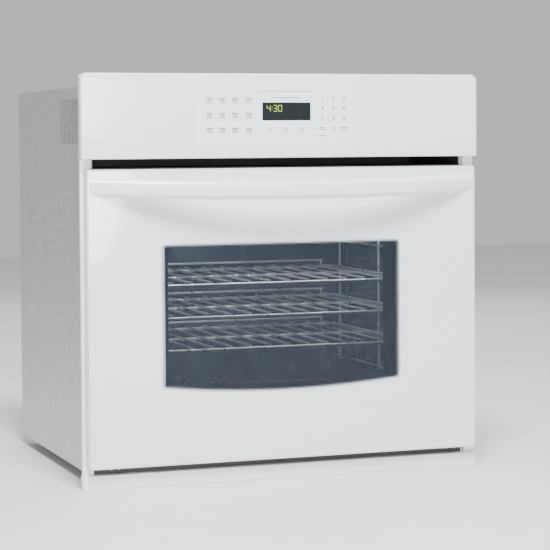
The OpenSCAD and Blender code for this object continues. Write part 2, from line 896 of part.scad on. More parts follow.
module door_insulation() {
    color("khaki") slab(glass_back + 3, inner_glass_front - clear) difference() {
        round_rect(2 - plug_half, plug_half - 2, plug_bottom + 2, plug_top - 2, 12);
        round_rect(-tunnel_half - clear, tunnel_half + clear, tunnel_bottom - clear,
            tunnel_top + clear, 12);
    }
}

module door_handle() {
    color("white") difference() {
        translate([0, door_face, handle_z]) rotate([handle_tip, 0, 0])
            translate([0, handle_R - handle_out, -handle_h / 2]) linear_extrude(handle_h)
                difference() {
                    circle(handle_R, $fn = 720);
                    circle(handle_R - handle_t, $fn = 720);
                    translate([-2 * handle_R, handle_out + 40 - handle_R]) square(4 * handle_R);
                }
        block(-front_w, front_w, door_face, door_face + 60, handle_z - 60, handle_z + 60);
        for (s = [-1, 1])
            rod_y(s * screw_x, handle_z, 2.5, door_face - 6, door_face + 1);
    }
}

module handle_screws() {
    color("gray") for (s = [-1, 1]) {
        rod_y(s * screw_x, handle_z, 2.4, door_face - 5, glass_back + 1);
        rod_y(s * screw_x, handle_z, 5, glass_back, glass_back + 3);
    }
}

// ---- racks ----

module rack(z) {
    color("silver") translate([0, 0, z]) {
        wire_ring(-rack_half, rack_half, rack_y0, rack_y1, rack_wire_r, 22);
        rod_x((rack_y0 + rack_y1) / 2, 0.6, rack_wire_r - 0.5, -rack_half, rack_half);
        for (i = [0 : rack_rods - 1])
            rod_y(-rack_half + 23.3 + i * rod_pitch, rack_wire_r + rack_rod_r - 0.6, rack_rod_r,
                rack_y0 - 1, rack_y1 + 1);
        for (s = [-1, 1])
            rod_z(s * (rack_half - 30), rack_y1, rack_rod_r, 0, 14);
        rod_x(rack_y1, 14, rack_wire_r - 0.7, -rack_half + 26, rack_half - 26);
    }
}

module rack_upper() {
    rack(rack_z(3));
}

module rack_middle() {
    rack(rack_z(2));
}

module rack_lower() {
    rack(rack_z(1));
}

chassis_side_left();
chassis_side_right();
chassis_top();
chassis_back();
base_pan();
front_frame();
front_head();
top_deck();
side_trim_left();
side_trim_right();
bottom_trim();
oven_cavity();
cavity_insulation();
rack_guide_left();
rack_guide_right();
cavity_gasket();
bake_element();
broil_element();
temperature_probe();
lamp_socket();
lamp_bulb();
lamp_lens();
vent_duct();
blower_housing();
blower_motor();
blower_wheel();
control_fascia();
control_bracket();
keypad_overlay();
display_lens();
display_module();
control_board();
latch_plate();
latch_motor();
latch_hook();
latch_keeper();
door_switch();
switch_plunger();
thermal_cutout();
junction_box();
junction_cover();
case_screws();
hinge_receivers();
hinge_arms();
hinge_body_left();
hinge_body_right();
hinge_pins();
hinge_springs();
door_frame();
door_outer_glass();
window_tunnel();
door_middle_glass();
door_inner_glass();
door_liner();
door_insulation();
door_handle();
handle_screws();
rack_upper();
rack_middle();
rack_lower();
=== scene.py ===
import bpy
import math
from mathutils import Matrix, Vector


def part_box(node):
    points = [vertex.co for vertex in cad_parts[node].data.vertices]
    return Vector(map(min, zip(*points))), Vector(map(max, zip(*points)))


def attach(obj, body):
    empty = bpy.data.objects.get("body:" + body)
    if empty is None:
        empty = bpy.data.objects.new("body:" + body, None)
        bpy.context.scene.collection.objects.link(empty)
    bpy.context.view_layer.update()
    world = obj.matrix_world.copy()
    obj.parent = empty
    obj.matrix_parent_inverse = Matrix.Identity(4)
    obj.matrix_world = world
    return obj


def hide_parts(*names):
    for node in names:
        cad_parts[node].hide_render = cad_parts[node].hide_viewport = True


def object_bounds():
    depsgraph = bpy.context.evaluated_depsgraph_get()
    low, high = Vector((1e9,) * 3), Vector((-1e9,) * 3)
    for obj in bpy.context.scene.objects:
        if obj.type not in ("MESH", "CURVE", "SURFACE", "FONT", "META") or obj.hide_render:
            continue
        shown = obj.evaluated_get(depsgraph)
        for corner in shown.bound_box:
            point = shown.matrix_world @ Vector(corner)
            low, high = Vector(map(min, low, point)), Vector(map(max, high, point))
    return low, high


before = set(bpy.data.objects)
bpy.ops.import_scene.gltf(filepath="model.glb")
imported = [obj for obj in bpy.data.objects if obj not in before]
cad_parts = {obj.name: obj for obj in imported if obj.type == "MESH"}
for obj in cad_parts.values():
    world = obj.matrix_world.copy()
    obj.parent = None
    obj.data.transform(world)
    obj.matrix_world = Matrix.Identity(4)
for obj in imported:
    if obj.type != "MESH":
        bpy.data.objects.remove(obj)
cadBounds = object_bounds()
mm = 0.001
nearly = 0.01 * mm                                                     # slack for picking faces and edges
print("frame loaded:", len(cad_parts), "nodes")


def clearSelection():
    if bpy.context.object and bpy.context.object.mode != "OBJECT":
        bpy.ops.object.mode_set(mode="OBJECT")
    bpy.ops.object.select_all(action="DESELECT")


def makeActive(piece):
    clearSelection()
    piece.select_set(True)
    bpy.context.view_layer.objects.active = piece


def settle(piece):
    makeActive(piece)
    bpy.ops.object.transform_apply(location=True, rotation=True, scale=True)
    return piece


def addBlock(name, low, high):
    clearSelection()
    low, high = Vector(low), Vector(high)
    bpy.ops.mesh.primitive_cube_add(size=1, location=(low + high) / 2, scale=high - low)
    piece = bpy.context.object
    piece.name = name
    return settle(piece)


def pick(piece, kind, test):
    makeActive(piece)
    bpy.ops.object.mode_set(mode="EDIT")
    bpy.ops.mesh.select_mode(type=kind)
    bpy.ops.mesh.select_all(action="DESELECT")
    bpy.ops.object.mode_set(mode="OBJECT")
    mesh = piece.data
    if kind == "FACE":
        for face in mesh.polygons:
            face.select = bool(test(face))
    if kind == "EDGE":
        for edge in mesh.edges:
            a, b = (mesh.vertices[i].co for i in edge.vertices)
            edge.select = bool(test(a, b))
    if kind == "VERT":
        for point in mesh.vertices:
            point.select = bool(test(point.co))
    bpy.ops.object.mode_set(mode="EDIT")


def endEdit():
    bpy.ops.object.mode_set(mode="OBJECT")


def roundEdges(piece, width, segments, test):
    pick(piece, "EDGE", test)
    bpy.ops.mesh.bevel(offset=width, segments=segments, affect="EDGES", clamp_overlap=True)
    endEdit()


def applyModifier(piece, kind, **settings):
    makeActive(piece)
    modifier = piece.modifiers.new(kind.lower(), kind)
    for key, value in settings.items():
        setattr(modifier, key, value)
    bpy.ops.object.modifier_apply(modifier=modifier.name)


def tidyMesh(piece):
    makeActive(piece)
    bpy.ops.object.mode_set(mode="EDIT")
    bpy.ops.mesh.select_all(action="SELECT")
    bpy.ops.mesh.remove_doubles(threshold=0.00001)
    bpy.ops.mesh.normals_make_consistent(inside=False)
    bpy.ops.object.mode_set(mode="OBJECT")


def smoothByAngle(piece, degrees=35):
    makeActive(piece)
    bpy.ops.object.shade_smooth_by_angle(angle=math.radians(degrees))


def cutAway(piece, cutter):
    applyModifier(piece, "BOOLEAN", operation="DIFFERENCE", solver="EXACT", object=cutter)
    bpy.data.objects.remove(cutter, do_unlink=True)


def joinAll(pieces, name):
    clearSelection()
    for piece in pieces:
        piece.select_set(True)
    bpy.context.view_layer.objects.active = pieces[0]
    bpy.ops.object.join()
    joined = bpy.context.object
    joined.name = name
    return joined


def dress(piece, material):
    piece.data.materials.clear()
    piece.data.materials.append(material)
    return piece


def placePiece(piece, body, slot, material, *nodes):
    dress(piece, material)
    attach(piece, body)
    if nodes:
        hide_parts(*nodes)
    return piece


class Value:
    def __init__(self, finish, socket):
        self.finish, self.socket = finish, socket

    def calc(self, operation, *others):
        sockets = {0: self.socket}
        for index, other in enumerate(others):
            sockets[index + 1] = other
        return self.finish.value("ShaderNodeMath", {"operation": operation}, sockets)

    def __add__(self, other):
        return self.calc("ADD", other)

    def __mul__(self, other):
        return self.calc("MULTIPLY", other)

    def __sub__(self, other):
        return self.calc("SUBTRACT", other)

    def __truediv__(self, other):
        return self.calc("DIVIDE", other)

    def __rsub__(self, other):
        return self.finish.value("ShaderNodeMath", {"operation": "SUBTRACT"}, {0: other, 1: self})

    __radd__ = __add__
    __rmul__ = __mul__

    def biggest(self, other):
        return self.calc("MAXIMUM", other)

    def smallest(self, other):
        return self.calc("MINIMUM", other)

    def above(self, other):
        return self.calc("GREATER_THAN", other)

    def size(self):
        return self.calc("ABSOLUTE")

    def wave(self):
        return self.calc("SINE")

    def ramp(self, low, high, start=0.0, end=1.0):
        return self.finish.value("ShaderNodeMapRange", {"interpolation_type": "SMOOTHSTEP"},
                                 {0: self, 1: low, 2: high, 3: start, 4: end})


class Finish:
    def __init__(self, name, **constants):
        self.material = bpy.data.materials.new(name)
        self.material.use_nodes = True
        self.tree = self.material.node_tree
        self.shader = self.tree.nodes["Principled BSDF"]
        self.output = self.tree.nodes["Material Output"]
        self.place = None
        for key, constant in constants.items():
            self.shader.inputs[key].default_value = constant

    def node(self, kind, settings=None, sockets=None):
        made = self.tree.nodes.new(kind)
        for key, setting in (settings or {}).items():
            setattr(made, key, setting)
        for key, given in (sockets or {}).items():
            given = given.socket if isinstance(given, Value) else given
            if isinstance(given, bpy.types.NodeSocket):
                self.tree.links.new(given, made.inputs[key])
            else:
                made.inputs[key].default_value = given
        return made

    def value(self, kind, settings=None, sockets=None, out=0):
        return Value(self, self.node(kind, settings, sockets).outputs[out])

    def coords(self, stretch=(1, 1, 1)):
        if self.place is None:
            self.place = self.node("ShaderNodeTexCoord").outputs["Object"]
        if stretch == (1, 1, 1):
            return self.place
        return self.node("ShaderNodeMapping", None, {"Vector": self.place, "Scale": stretch}).outputs[0]

    def axes(self):
        split = self.node("ShaderNodeSeparateXYZ", None, {0: self.coords()})
        return [Value(self, out) for out in split.outputs]

    def noise(self, scale, detail=3.0, stretch=(1, 1, 1), roughness=0.5):
        return self.value("ShaderNodeTexNoise", None, {
            "Vector": self.coords(stretch), "Scale": scale, "Detail": detail, "Roughness": roughness})

    def cells(self, scale, feature="F1", stretch=(1, 1, 1), out=0):
        return self.value("ShaderNodeTexVoronoi", {"feature": feature},
                          {"Vector": self.coords(stretch), "Scale": scale}, out)

    def blend(self, first, second, factor):
        mixed = self.node("ShaderNodeMix", {"data_type": "RGBA"}, {0: factor, 6: first, 7: second})
        return mixed.outputs[2]

    def feed(self, **links):
        for key, given in links.items():
            given = given.socket if isinstance(given, Value) else given
            self.tree.links.new(given, self.shader.inputs[key.replace("_", " ")])
        return self

    def bump(self, height, strength=0.3, distance=0.001):
        made = self.node("ShaderNodeBump", None,
                         {"Height": height, "Strength": strength, "Distance": distance})
        self.tree.links.new(made.outputs[0], self.shader.inputs["Normal"])
        return self


def rgb(r, g, b):
    return (r, g, b, 1.0)


def whiteEnamelFinish(name="whiteEnamel", tone=(0.79, 0.835, 0.865), gloss=0.22):
    enamel = Finish(name, **{"Specular IOR Level": 0.5, "Coat Weight": 0.35, "Coat Roughness": 0.08})
    cloud = enamel.noise(3.5, 4)
    peel = enamel.noise(520, 2)
    dust = enamel.noise(90, 6, roughness=0.7).ramp(0.58, 0.75)
    light = rgb(*tone)
    shade = rgb(*(c * 0.955 for c in tone))
    base = enamel.blend(light, shade, cloud.ramp(0.35, 0.7))
    base = enamel.blend(base, rgb(tone[0] * 0.9, tone[1] * 0.885, tone[2] * 0.86), dust * 0.25)
    enamel.feed(Base_Color=base, Roughness=cloud * 0.08 + dust * 0.1 + (gloss - 0.04))
    return enamel.bump(peel, 0.12, 0.0004).material


def galvanisedFinish():
    zinc = Finish("galvanisedSteel", Metallic=0.85)
    spangle = zinc.value("ShaderNodeTexVoronoi", {"feature": "F1"},
                         {"Vector": zinc.coords(), "Scale": 165.0, "Randomness": 1.0}, 1)
    grey = zinc.value("ShaderNodeRGBToBW", None, {0: spangle})
    grain = zinc.noise(380, 4, (1, 1, 0.25))
    stain = zinc.noise(5, 5)
    base = zinc.blend(rgb(0.50, 0.515, 0.53), rgb(0.61, 0.625, 0.64), grey.ramp(0.1, 0.9))
    base = zinc.blend(base, rgb(0.42, 0.425, 0.43), stain.ramp(0.52, 0.8) * 0.3)
    zinc.feed(Base_Color=base, Roughness=grey * 0.10 + grain * 0.10 + stain * 0.12 + 0.28)
    return zinc.bump(grain * 0.5 + grey * 0.5, 0.1, 0.0003).material


def porcelainFinish():
    enamel = Finish("darkPorcelain", **{"Coat Weight": 0.3, "Coat Roughness": 0.1})
    speck = enamel.cells(620).ramp(0.10, 0.22, 1.0, 0.0)
    rare = enamel.noise(160, 2).ramp(0.48, 0.62)
    cloud = enamel.noise(4, 4)
    base = enamel.blend(rgb(0.040, 0.050, 0.068), rgb(0.062, 0.074, 0.098), cloud.ramp(0.3, 0.7))
    base = enamel.blend(base, rgb(0.42, 0.45, 0.50), speck * rare)
    smear = enamel.noise(14, 5, (1, 1, 0.35)).ramp(0.5, 0.8)
    enamel.feed(Base_Color=base, Roughness=smear * 0.22 + 0.2)
    return enamel.bump(enamel.noise(240, 2), 0.15, 0.0005).material


def blackSteelFinish():
    paint = Finish("blackSteel", Metallic=0.0)
    dust = paint.noise(90, 6).ramp(0.35, 0.85)
    base = paint.blend(rgb(0.048, 0.041, 0.037), rgb(0.062, 0.054, 0.049), dust)
    paint.feed(Base_Color=base, Roughness=dust * 0.25 + 0.42)
    return paint.bump(paint.noise(700, 2), 0.2, 0.0004).material


def chromeWireFinish():
    chrome = Finish("chromeWire", Metallic=0.6, **{"Coat Weight": 0.4, "Coat Roughness": 0.12})
    haze = chrome.noise(60, 5)
    tint = chrome.noise(9, 3).ramp(0.5, 0.78)
    base = chrome.blend(rgb(0.86, 0.85, 0.81), rgb(0.72, 0.64, 0.50), tint * 0.5)
    chrome.feed(Base_Color=base, Roughness=haze * 0.2 + 0.2)
    return chrome.bump(chrome.noise(900, 2), 0.08, 0.0003).material


def bareSteelFinish(name="bareSteel", tone=(0.50, 0.50, 0.49), stretch=(1, 1, 0.1)):
    steel = Finish(name, Metallic=0.95)
    brushed = steel.noise(420, 3, stretch)
    stain = steel.noise(22, 5).ramp(0.45, 0.8)
    base = steel.blend(rgb(*tone), rgb(*(c * 0.6 for c in tone)), stain)
    steel.feed(Base_Color=base, Roughness=brushed * 0.2 + stain * 0.15 + 0.24)
    return steel.bump(brushed, 0.2, 0.0003).material


def elementFinish():
    sheath = Finish("elementSheath", Metallic=0.8)
    scale = sheath.noise(120, 6).ramp(0.4, 0.7)
    heat = sheath.noise(12, 3)
    base = sheath.blend(rgb(0.10, 0.09, 0.085), rgb(0.20, 0.15, 0.12), heat.ramp(0.4, 0.7))
    base = sheath.blend(base, rgb(0.26, 0.25, 0.24), scale * 0.5)
    sheath.feed(Base_Color=base, Roughness=scale * 0.25 + 0.42)
    return sheath.bump(scale, 0.35, 0.0004).material


def woolFinish():
    wool = Finish("mineralWool", Roughness=0.95, **{"Sheen Weight": 0.3})
    strand = wool.noise(130, 6, (1, 0.18, 1), 0.7)
    clump = wool.noise(24, 4)
    base = wool.blend(rgb(0.45, 0.38, 0.20), rgb(0.78, 0.71, 0.48), strand.ramp(0.3, 0.72))
    base = wool.blend(base, rgb(0.34, 0.30, 0.18), clump.ramp(0.55, 0.8) * 0.5)
    wool.feed(Base_Color=base)
    return wool.bump(strand + clump * 0.6, 0.9, 0.003).material


def braidFinish():
    braid = Finish("glassBraid", Roughness=0.9)
    x, y, z = braid.axes()
    pitch = 2 * math.pi / 0.0042
    over = ((x + z + y * 0.8) * pitch).wave()
    under = ((x - z - y * 0.8) * pitch).wave()
    weave = over * under
    thread = braid.noise(900, 3)
    base = braid.blend(rgb(0.11, 0.108, 0.10), rgb(0.34, 0.335, 0.32), weave.ramp(-0.8, 0.8))
    base = braid.blend(base, rgb(0.22, 0.20, 0.16), thread.ramp(0.5, 0.8) * 0.6)
    braid.feed(Base_Color=base)
    return braid.bump(weave + thread * 0.4, 0.8, 0.0012).material


def plainFinish(name, tone, rough=0.45, metallic=0.0, grainScale=500, depth=0.2, change=0.12):
    made = Finish(name, Metallic=metallic)
    cloud = made.noise(18, 4)
    grain = made.noise(grainScale, 3)
    base = made.blend(rgb(*tone), rgb(*(c * (1 - change) for c in tone)), cloud.ramp(0.35, 0.75))
    made.feed(Base_Color=base, Roughness=cloud * 0.15 + grain * 0.08 + (rough - 0.1))
    return made.bump(grain, depth, 0.0003).material


displayPrint = {"left": 4.5 * mm, "right": 2 * mm, "top": 4.5 * mm}


def displayFinish():
    lens = Finish("displayLens", **{"Specular IOR Level": 0.3})
    low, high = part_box("display_lens")
    x, y, z = lens.axes()
    clear = x.above(low.x + displayPrint["left"]) * (1 - x.above(high.x - displayPrint["right"]))
    clear = clear * (1 - z.above(high.z - displayPrint["top"]))
    film = lens.noise(60, 4)
    dark = lens.blend(rgb(0.008, 0.011, 0.013), rgb(0.012, 0.016, 0.018), film)
    base = lens.blend(rgb(0.78, 0.82, 0.845), dark, clear)
    lens.feed(Base_Color=base, Roughness=film * 0.1 + 0.14)
    return lens.bump(lens.noise(500, 3), 0.03, 0.0003).material


def boardFinish():
    board = Finish("circuitBoard", **{"Coat Weight": 0.4, "Coat Roughness": 0.2})
    x, y, z = board.axes()
    track = ((x * 900).wave().above(0.72)).biggest((z * 1100).wave().above(0.8))
    gate = board.cells(70).above(0.35)
    base = board.blend(rgb(0.012, 0.10, 0.035), rgb(0.05, 0.24, 0.09), track * gate)
    board.feed(Base_Color=base, Roughness=board.noise(80) * 0.2 + 0.3)
    return board.bump(track * gate, 0.3, 0.0002).material


def clearPaneFinish(name, tint, strength):
    pane = Finish(name, Roughness=0.03, **{"Base Color": rgb(0.015, 0.018, 0.022)})
    seeThrough = pane.node("ShaderNodeBsdfTransparent", None, {"Color": rgb(*tint)})
    facing = pane.value("ShaderNodeLayerWeight", None, {"Blend": 0.25}, 0)
    smudge = pane.noise(11, 5).ramp(0.5, 0.8)
    pane.feed(Roughness=smudge * 0.12 + 0.03)
    amount = (facing * 0.3 + smudge * 0.02 + strength).smallest(1.0)
    mixed = pane.node("ShaderNodeMixShader", None,
                      {0: amount, 1: seeThrough.outputs[0], 2: pane.shader.outputs[0]})
    pane.tree.links.new(mixed.outputs[0], pane.output.inputs["Surface"])
    return pane.material


windowPrint = {
    "centre": -9 * mm, "halfWidth": 236 * mm, "corner": 15 * mm, "bow": 14.5 * mm,
    "fade": 15 * mm, "dotPitch": 2.4 * mm, "tint": (0.93, 0.95, 0.98),
    # haze: blue-grey colour laid over the window, partly the fine dot screen and partly painted reflection
    # of the room; its amount is this painted layer's share
    "haze": (0.095, 0.12, 0.165), "hazeAndReflectionAmount": 0.15,
}


def doorGlassFinish(top, bottom, middle):
    p = windowPrint
    glass = Finish("doorGlass", **{"Coat Weight": 0.3, "Coat Roughness": 0.05})
    x, y, z = glass.axes()
    aside = x - p["centre"]
    low = (aside * aside) * (p["bow"] / p["halfWidth"] ** 2) + bottom  # the lower edge is bowed
    outX = aside.size() - (p["halfWidth"] - p["corner"])
    outZ = (z - (top - p["corner"])).biggest((low + p["corner"]) - z)
    cornerX, cornerZ = outX.biggest(0.0), outZ.biggest(0.0)
    reach = (cornerX * cornerX + cornerZ * cornerZ).calc("SQRT")
    inside = outX.biggest(outZ).smallest(0.0)
    edge = reach + inside - p["corner"]                                # below 0 inside the window
    cover = edge.ramp(-p["fade"], 0.0)
    turn = 1 / p["dotPitch"]
    rowShift = (z * turn).calc("FLOOR") * 0.5
    cellX = (x * turn + rowShift).calc("FRACT") - 0.5
    cellZ = (z * turn).calc("FRACT") - 0.5
    dot = (cellX * cellX + cellZ * cellZ).calc("SQRT")
    dots = (cover * 0.78 - dot + 0.02).ramp(-0.06, 0.06)
    solid = edge.ramp(-0.0022, -0.0008)
    frit = dots.biggest(solid)
    cloud = glass.noise(3.2, 4)
    white = glass.blend(rgb(0.79, 0.83, 0.85), rgb(0.765, 0.80, 0.815), cloud.ramp(0.35, 0.7))
    # inside the window the base colour is the haze colour: partly dot-screen haze, partly painted reflection
    base = glass.blend(rgb(*p["haze"]), white, frit)
    smudge = glass.noise(12, 5).ramp(0.5, 0.8)
    glass.feed(Base_Color=base, Roughness=smudge * 0.07 + 0.1)
    # more of the painted reflection colour towards grazing angles
    facing = glass.value("ShaderNodeLayerWeight", None, {"Blend": 0.2}, 0)
    clearPart = (facing * 0.4 + smudge * 0.05 + p["hazeAndReflectionAmount"]).smallest(1.0)
    front = (middle - y).above(0.0)                                    # one face only, so it counts once
    amount = frit + (1 - frit) * clearPart * front
    seeThrough = glass.node("ShaderNodeBsdfTransparent", None, {"Color": rgb(*p["tint"])})
    mixed = glass.node("ShaderNodeMixShader", None,
                       {0: amount, 1: seeThrough.outputs[0], 2: glass.shader.outputs[0]})
    glass.tree.links.new(mixed.outputs[0], glass.output.inputs["Surface"])
    return glass.bump(glass.noise(6, 2), 0.02, 0.001).material


def glowFinish(name, tone, strength):
    glow = Finish(name, Roughness=0.5, **{"Base Color": rgb(*tone), "Emission Strength": strength})
    flicker = glow.noise(300, 2)
    shade = glow.blend(rgb(*tone), rgb(*(c * 0.7 for c in tone)), flicker.ramp(0.4, 0.7))
    glow.feed(Emission_Color=shade)
    return glow.material


whiteEnamel = whiteEnamelFinish()
handleEnamel = whiteEnamelFinish("handleEnamel", (0.84, 0.885, 0.915), 0.2)
keypadFilm = plainFinish("keypadFilm", (0.80, 0.845, 0.875), 0.34, depth=0.1, change=0.02)
galvanised = galvanisedFinish()
porcelain = porcelainFinish()
blackSteel = blackSteelFinish()
chromeWire = chromeWireFinish()
bareSteel = bareSteelFinish()
brightSteel = bareSteelFinish("brightSteel", (0.62, 0.62, 0.61), (1, 0.1, 1))
elementSheath = elementFinish()
mineralWool = woolFinish()
glassBraid = braidFinish()
ceramic = plainFinish("ceramic", (0.80, 0.78, 0.70), 0.3)
blackPlastic = plainFinish("blackPlastic", (0.02, 0.02, 0.022), 0.5)
whitePlastic = plainFinish("whitePlastic", (0.76, 0.77, 0.76), 0.4)
displayLens = displayFinish()
labelGrey = plainFinish("labelGrey", (0.11, 0.115, 0.125), 0.5, depth=0.05)
circuitBoard = boardFinish()
clearPane = clearPaneFinish("clearPane", (0.97, 0.98, 0.98), 0.015)
bulbGlass = clearPaneFinish("bulbGlass", (0.95, 0.94, 0.90), 0.08)
digitGlow = glowFinish("digitGlow", (0.38, 0.50, 0.06), 0.2)
print("materials made:", len(bpy.data.materials))

finishOf = {
    galvanised: ["chassis_side_left", "chassis_side_right", "chassis_top", "chassis_back", "base_pan",
                 "front_head", "top_deck", "blower_housing", "control_bracket", "junction_box",
                 "junction_cover", "latch_plate"],
    whiteEnamel: ["door_frame"],
    porcelain: ["oven_cavity", "door_liner"],
    blackSteel: ["vent_duct", "front_frame"],
    mineralWool: ["cavity_insulation", "door_insulation"],
    chromeWire: ["rack_guide_left", "rack_guide_right", "rack_upper", "rack_middle", "rack_lower"],
    glassBraid: ["cavity_gasket"],
    elementSheath: ["bake_element", "broil_element"],
    bareSteel: ["hinge_receivers", "hinge_arms", "hinge_body_left", "hinge_body_right", "hinge_pins",
                "hinge_springs", "latch_hook", "latch_keeper", "case_screws", "handle_screws",
                "blower_motor", "blower_wheel", "latch_motor"],
    brightSteel: ["window_tunnel", "temperature_probe"],
    ceramic: ["lamp_socket"],
    bulbGlass: ["lamp_bulb", "lamp_lens"],
    clearPane: ["door_middle_glass", "door_inner_glass"],
    whitePlastic: ["switch_plunger"],
    displayLens: ["display_lens"],
    blackPlastic: ["display_module", "door_switch", "thermal_cutout"],
    circuitBoard: ["control_board"],
}
for material, names in finishOf.items():
    for name in names:
        dress(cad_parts[name], material)


panelLow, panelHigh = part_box("control_fascia")
lensLow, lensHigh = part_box("display_lens")
panelShape = {"cornerRadius": 12 * mm, "edgeRadius": 2.6 * mm, "thickness": 1.2 * mm,
              "lensGap": 0.3 * mm}


def sameX(a, b):
    return abs(a.x - b.x) < 0.1 * nearly


def upright(a, b):
    return sameX(a, b) and abs(a.z - b.z) < 0.1 * nearly


def thicken(piece, thickness):
    applyModifier(piece, "SOLIDIFY", thickness=thickness, offset=-1, use_even_offset=True)


def cutForLens(piece, low, high):
    gap, past = panelShape["lensGap"], 10 * mm
    cutAway(piece, addBlock("hole", (lensLow.x - gap, low.y - past, lensLow.z - gap),
                            (lensHigh.x + gap, high.y + past, lensHigh.z + gap)))


def openShell(name, low, high):
    piece = addBlock(name, low, high)
    pick(piece, "FACE", lambda face: face.normal.y > 0.9)
    bpy.ops.mesh.delete(type="FACE")
    endEdit()
    return piece


def makeControlPanel():
    s = panelShape
    panel = openShell("controlPanel", panelLow, panelHigh)
    topZ = panelHigh.z - nearly
    roundEdges(panel, s["cornerRadius"], 8, lambda a, b: a.z > topZ and b.z > topZ and sameX(a, b))
    frontY = panelLow.y + nearly
    roundEdges(panel, s["edgeRadius"], 4, lambda a, b: a.y < frontY and b.y < frontY)
    thicken(panel, s["thickness"])
    cutForLens(panel, panelLow, panelHigh)
    smoothByAngle(panel)
    placePiece(panel, "chassis", "white_enamel", whiteEnamel, "control_fascia")


makeControlPanel()


filmLow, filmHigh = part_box("keypad_overlay")
labels = {                                                             # across, and down from the top, in mm
    "leftColumns": [-145, -121, -97, -71], "leftRows": [48, 74.5, 101],
    "rightColumns": [71, 92.5, 113], "rightRows": [44.4, 62.8, 81.5, 99.4],
    "dotRow": 101, "dots": [-30, 0, 30], "digitHeight": 9,
    "keyLines": [(-2.6, 12, 2.0), (1.2, 9, 1.8), (4.8, 11, 1.3)],
    "headLines": [(0, 31.5, 106, 0.9), (0, 43.0, 60, 1.1), (69, 112, 20, 1.0)],
    "filmCorner": 6 * mm, "thickness": 0.12 * mm,
}


def makeFilm():
    film = addBlock("keypadFilm", filmLow, filmHigh)
    roundEdges(film, labels["filmCorner"], 6, upright)
    cutForLens(film, filmLow, filmHigh)
    smoothByAngle(film)
    placePiece(film, "chassis", "white_plastic", keypadFilm, "keypad_overlay")


def labelAt(x, down, width, height):
    z = panelHigh.z - down * mm
    front = filmLow.y
    return addBlock("mark", ((x - width / 2) * mm, front - labels["thickness"], z - height / 2 * mm),
                    ((x + width / 2) * mm, front, z + height / 2 * mm))


def digitAt(character, x, down):
    clearSelection()
    bpy.ops.object.text_add(location=(x * mm, filmLow.y, panelHigh.z - down * mm),
                            rotation=(math.pi / 2, 0, 0))
    text = bpy.context.object
    text.data.body = character
    text.data.size = labels["digitHeight"] * mm
    text.data.align_x = "CENTER"
    text.data.align_y = "CENTER"
    text.data.extrude = labels["thickness"] / 2
    text.data.offset = 0.25 * mm
    text.data.resolution_u = 3
    bpy.ops.object.convert(target="MESH")
    return settle(bpy.context.object)


def makeLabels():
    marks = []
    for row in labels["leftRows"]:
        for column in labels["leftColumns"]:
            for down, width, height in labels["keyLines"]:
                marks.append(labelAt(column, row + down, width, height))
    keys = iter("123456789")
    for row in labels["rightRows"][:3]:
        for column in labels["rightColumns"]:
            marks.append(digitAt(next(keys), column, row))
    lastRow = labels["rightRows"][3]
    marks.append(digitAt("0", labels["rightColumns"][1], lastRow))
    for column, width in ((labels["rightColumns"][0], 10), (labels["rightColumns"][2], 14)):
        marks.append(labelAt(column, lastRow - 1.8, width, 1.5))
        marks.append(labelAt(column, lastRow + 1.8, width * 0.7, 1.5))
    for column in labels["dots"]:
        marks.append(labelAt(column, labels["dotRow"], 9, 1.4))
        marks.append(labelAt(column, labels["dotRow"] + 3.2, 5, 1.2))
    for x, down, width, height in labels["headLines"]:
        marks.append(labelAt(x, down, width, height))
    printed = joinAll(marks, "panelLabels")
    placePiece(printed, "chassis", "white_plastic", labelGrey)


clock = {                                                              # mm
    "digits": [("4", -33), ("3", -20.5), ("0", -11)], "down": 62.5, "tall": 5.4, "wide": 6.2,
    "stroke": 1.1, "proud": 0.08, "colon": (-27, -25.8), "colonOffset": 2.2, "dotHalf": 0.6,
}
segments = {"4": "bcfg", "3": "abcdg", "0": "abcdef"}
bars = {                                                               # place, then flat or upright
    "a": (0, 1, 1, 0), "g": (0, 0, 1, 0), "d": (0, -1, 1, 0), "f": (-0.5, 0.5, 0, 1),
    "b": (0.5, 0.5, 0, 1), "e": (-0.5, -0.5, 0, 1), "c": (0.5, -0.5, 0, 1),
}


def clockBar(x, z, halfX, halfZ):
    middle = panelHigh.z - clock["down"] * mm + z * mm
    return addBlock("bar", ((x - halfX) * mm, lensLow.y - clock["proud"] * mm, middle - halfZ * mm),
                    ((x + halfX) * mm, lensLow.y, middle + halfZ * mm))


def makeClock():
    c = clock
    parts = []
    for character, centre in c["digits"]:
        for key in segments[character]:
            across, up, flat, tall = bars[key]
            halfX = (c["wide"] * flat + c["stroke"] * tall) / 2 * 0.86  # leaves a gap between bars
            halfZ = (c["tall"] * tall + c["stroke"] * flat) / 2 * 0.9
            parts.append(clockBar(centre + across * c["wide"], up * c["tall"], halfX, halfZ))
    left, right = c["colon"]
    for side in (-1, 1):
        parts.append(clockBar((left + right) / 2, side * c["colonOffset"], (right - left) / 2,
                              c["dotHalf"]))
    placePiece(joinAll(parts, "clockDigits"), "chassis", "display_glass", digitGlow)


makeFilm()
makeLabels()
makeClock()
print("control panel made")


trimShape = {"lap": 17.5 * mm, "sideRound": 1.4 * mm, "bottomRound": 2.2 * mm, "thickness": 1.2 * mm}


def finishTrim(trim, node):
    thicken(trim, trimShape["thickness"])
    smoothByAngle(trim)
    placePiece(trim, "chassis", "white_enamel", whiteEnamel, node)


def makeTrims():
    for node in ("side_trim_left", "side_trim_right"):
        low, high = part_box(node)
        if low.x < 0:
            high.x -= trimShape["lap"]
        else:
            low.x += trimShape["lap"]
        trim = openShell(node.replace("_", "") + "Cover", low, high)
        frontY = low.y + nearly
        roundEdges(trim, trimShape["sideRound"], 3,
                   lambda a, b: a.y < frontY and b.y < frontY and sameX(a, b))
        finishTrim(trim, node)
    low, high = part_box("bottom_trim")
    trim = openShell("bottomTrimCover", low, high)
    frontY = low.y + nearly
    roundEdges(trim, trimShape["bottomRound"], 4, lambda a, b: a.y < frontY and b.y < frontY)
    finishTrim(trim, "bottom_trim")


makeTrims()


